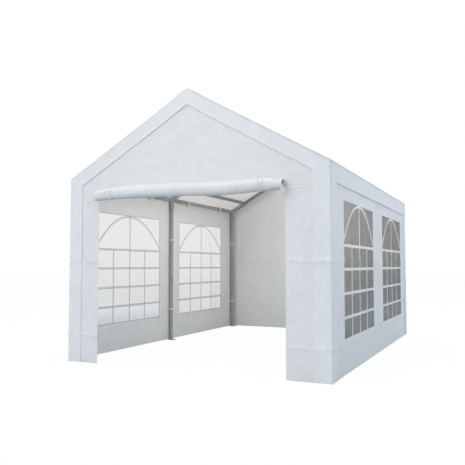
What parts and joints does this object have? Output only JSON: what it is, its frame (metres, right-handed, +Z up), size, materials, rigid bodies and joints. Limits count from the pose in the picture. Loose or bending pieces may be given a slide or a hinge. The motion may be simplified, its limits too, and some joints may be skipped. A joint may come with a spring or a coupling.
{
  "type": "marquee tent",
  "caption": "Ridge-roofed marquee tent on a steel tube frame, with arched-window side walls, a plain back wall and a doorway whose sheet is rolled up; shelters people, tables or goods.",
  "frame": {"origin": "on the ground, under the middle of the whole tent's box", "axes": "+Z up, +Y from the doorway to the back wall, +X to the right seen from the doorway side"},
  "size_m": [2.96, 4.329, 2.8399],
  "materials": {
    "cover_cloth": "white coated woven cloth, satin",
    "wall_cloth": "white coated woven cloth, satin",
    "door_cloth": "white coated woven cloth, satin",
    "window_film": "clear film",
    "frame_steel": "galvanised, dull grey"
  },
  "bodies": {
    "root": {"back_wall": "wall_cloth", "eave_fitting_left_back": "frame_steel", "eave_fitting_left_front": "frame_steel", "eave_fitting_left_middle": "frame_steel", "eave_fitting_right_back": "frame_steel", "eave_fitting_right_front": "frame_steel", "eave_fitting_right_middle": "frame_steel", "eave_rail_left_back": "frame_steel", "eave_rail_left_front": "frame_steel", "eave_rail_right_back": "frame_steel", "eave_rail_right_front": "frame_steel", "front_gable": "wall_cloth", "front_wall_left": "wall_cloth", "front_wall_right": "wall_cloth", "gable_flap_back": "cover_cloth", "gable_flap_front": "cover_cloth", "left_wall": "wall_cloth", "post_left_back": "frame_steel", "post_left_front": "frame_steel", "post_left_middle": "frame_steel", "post_right_back": "frame_steel", "post_right_front": "frame_steel", "post_right_middle": "frame_steel", "purlin_left_back": "frame_steel", "purlin_left_front": "frame_steel", "purlin_right_back": "frame_steel", "purlin_right_front": "frame_steel", "rafter_left_back": "frame_steel", "rafter_left_front": "frame_steel", "rafter_left_middle": "frame_steel", "rafter_right_back": "frame_steel", "rafter_right_front": "frame_steel", "rafter_right_middle": "frame_steel", "ridge_fitting_back": "frame_steel", "ridge_fitting_front": "frame_steel", "ridge_fitting_middle": "frame_steel", "ridge_tube_back": "frame_steel", "ridge_tube_front": "frame_steel", "right_wall": "wall_cloth", "rolled_door": "door_cloth", "roof_cover_left": "cover_cloth", "roof_cover_right": "cover_cloth", "valance_left": "cover_cloth", "valance_right": "cover_cloth", "window_left_back": "window_film", "window_left_front": "window_film", "window_right_back": "window_film", "window_right_front": "window_film"}
  },
  "joints": []
}
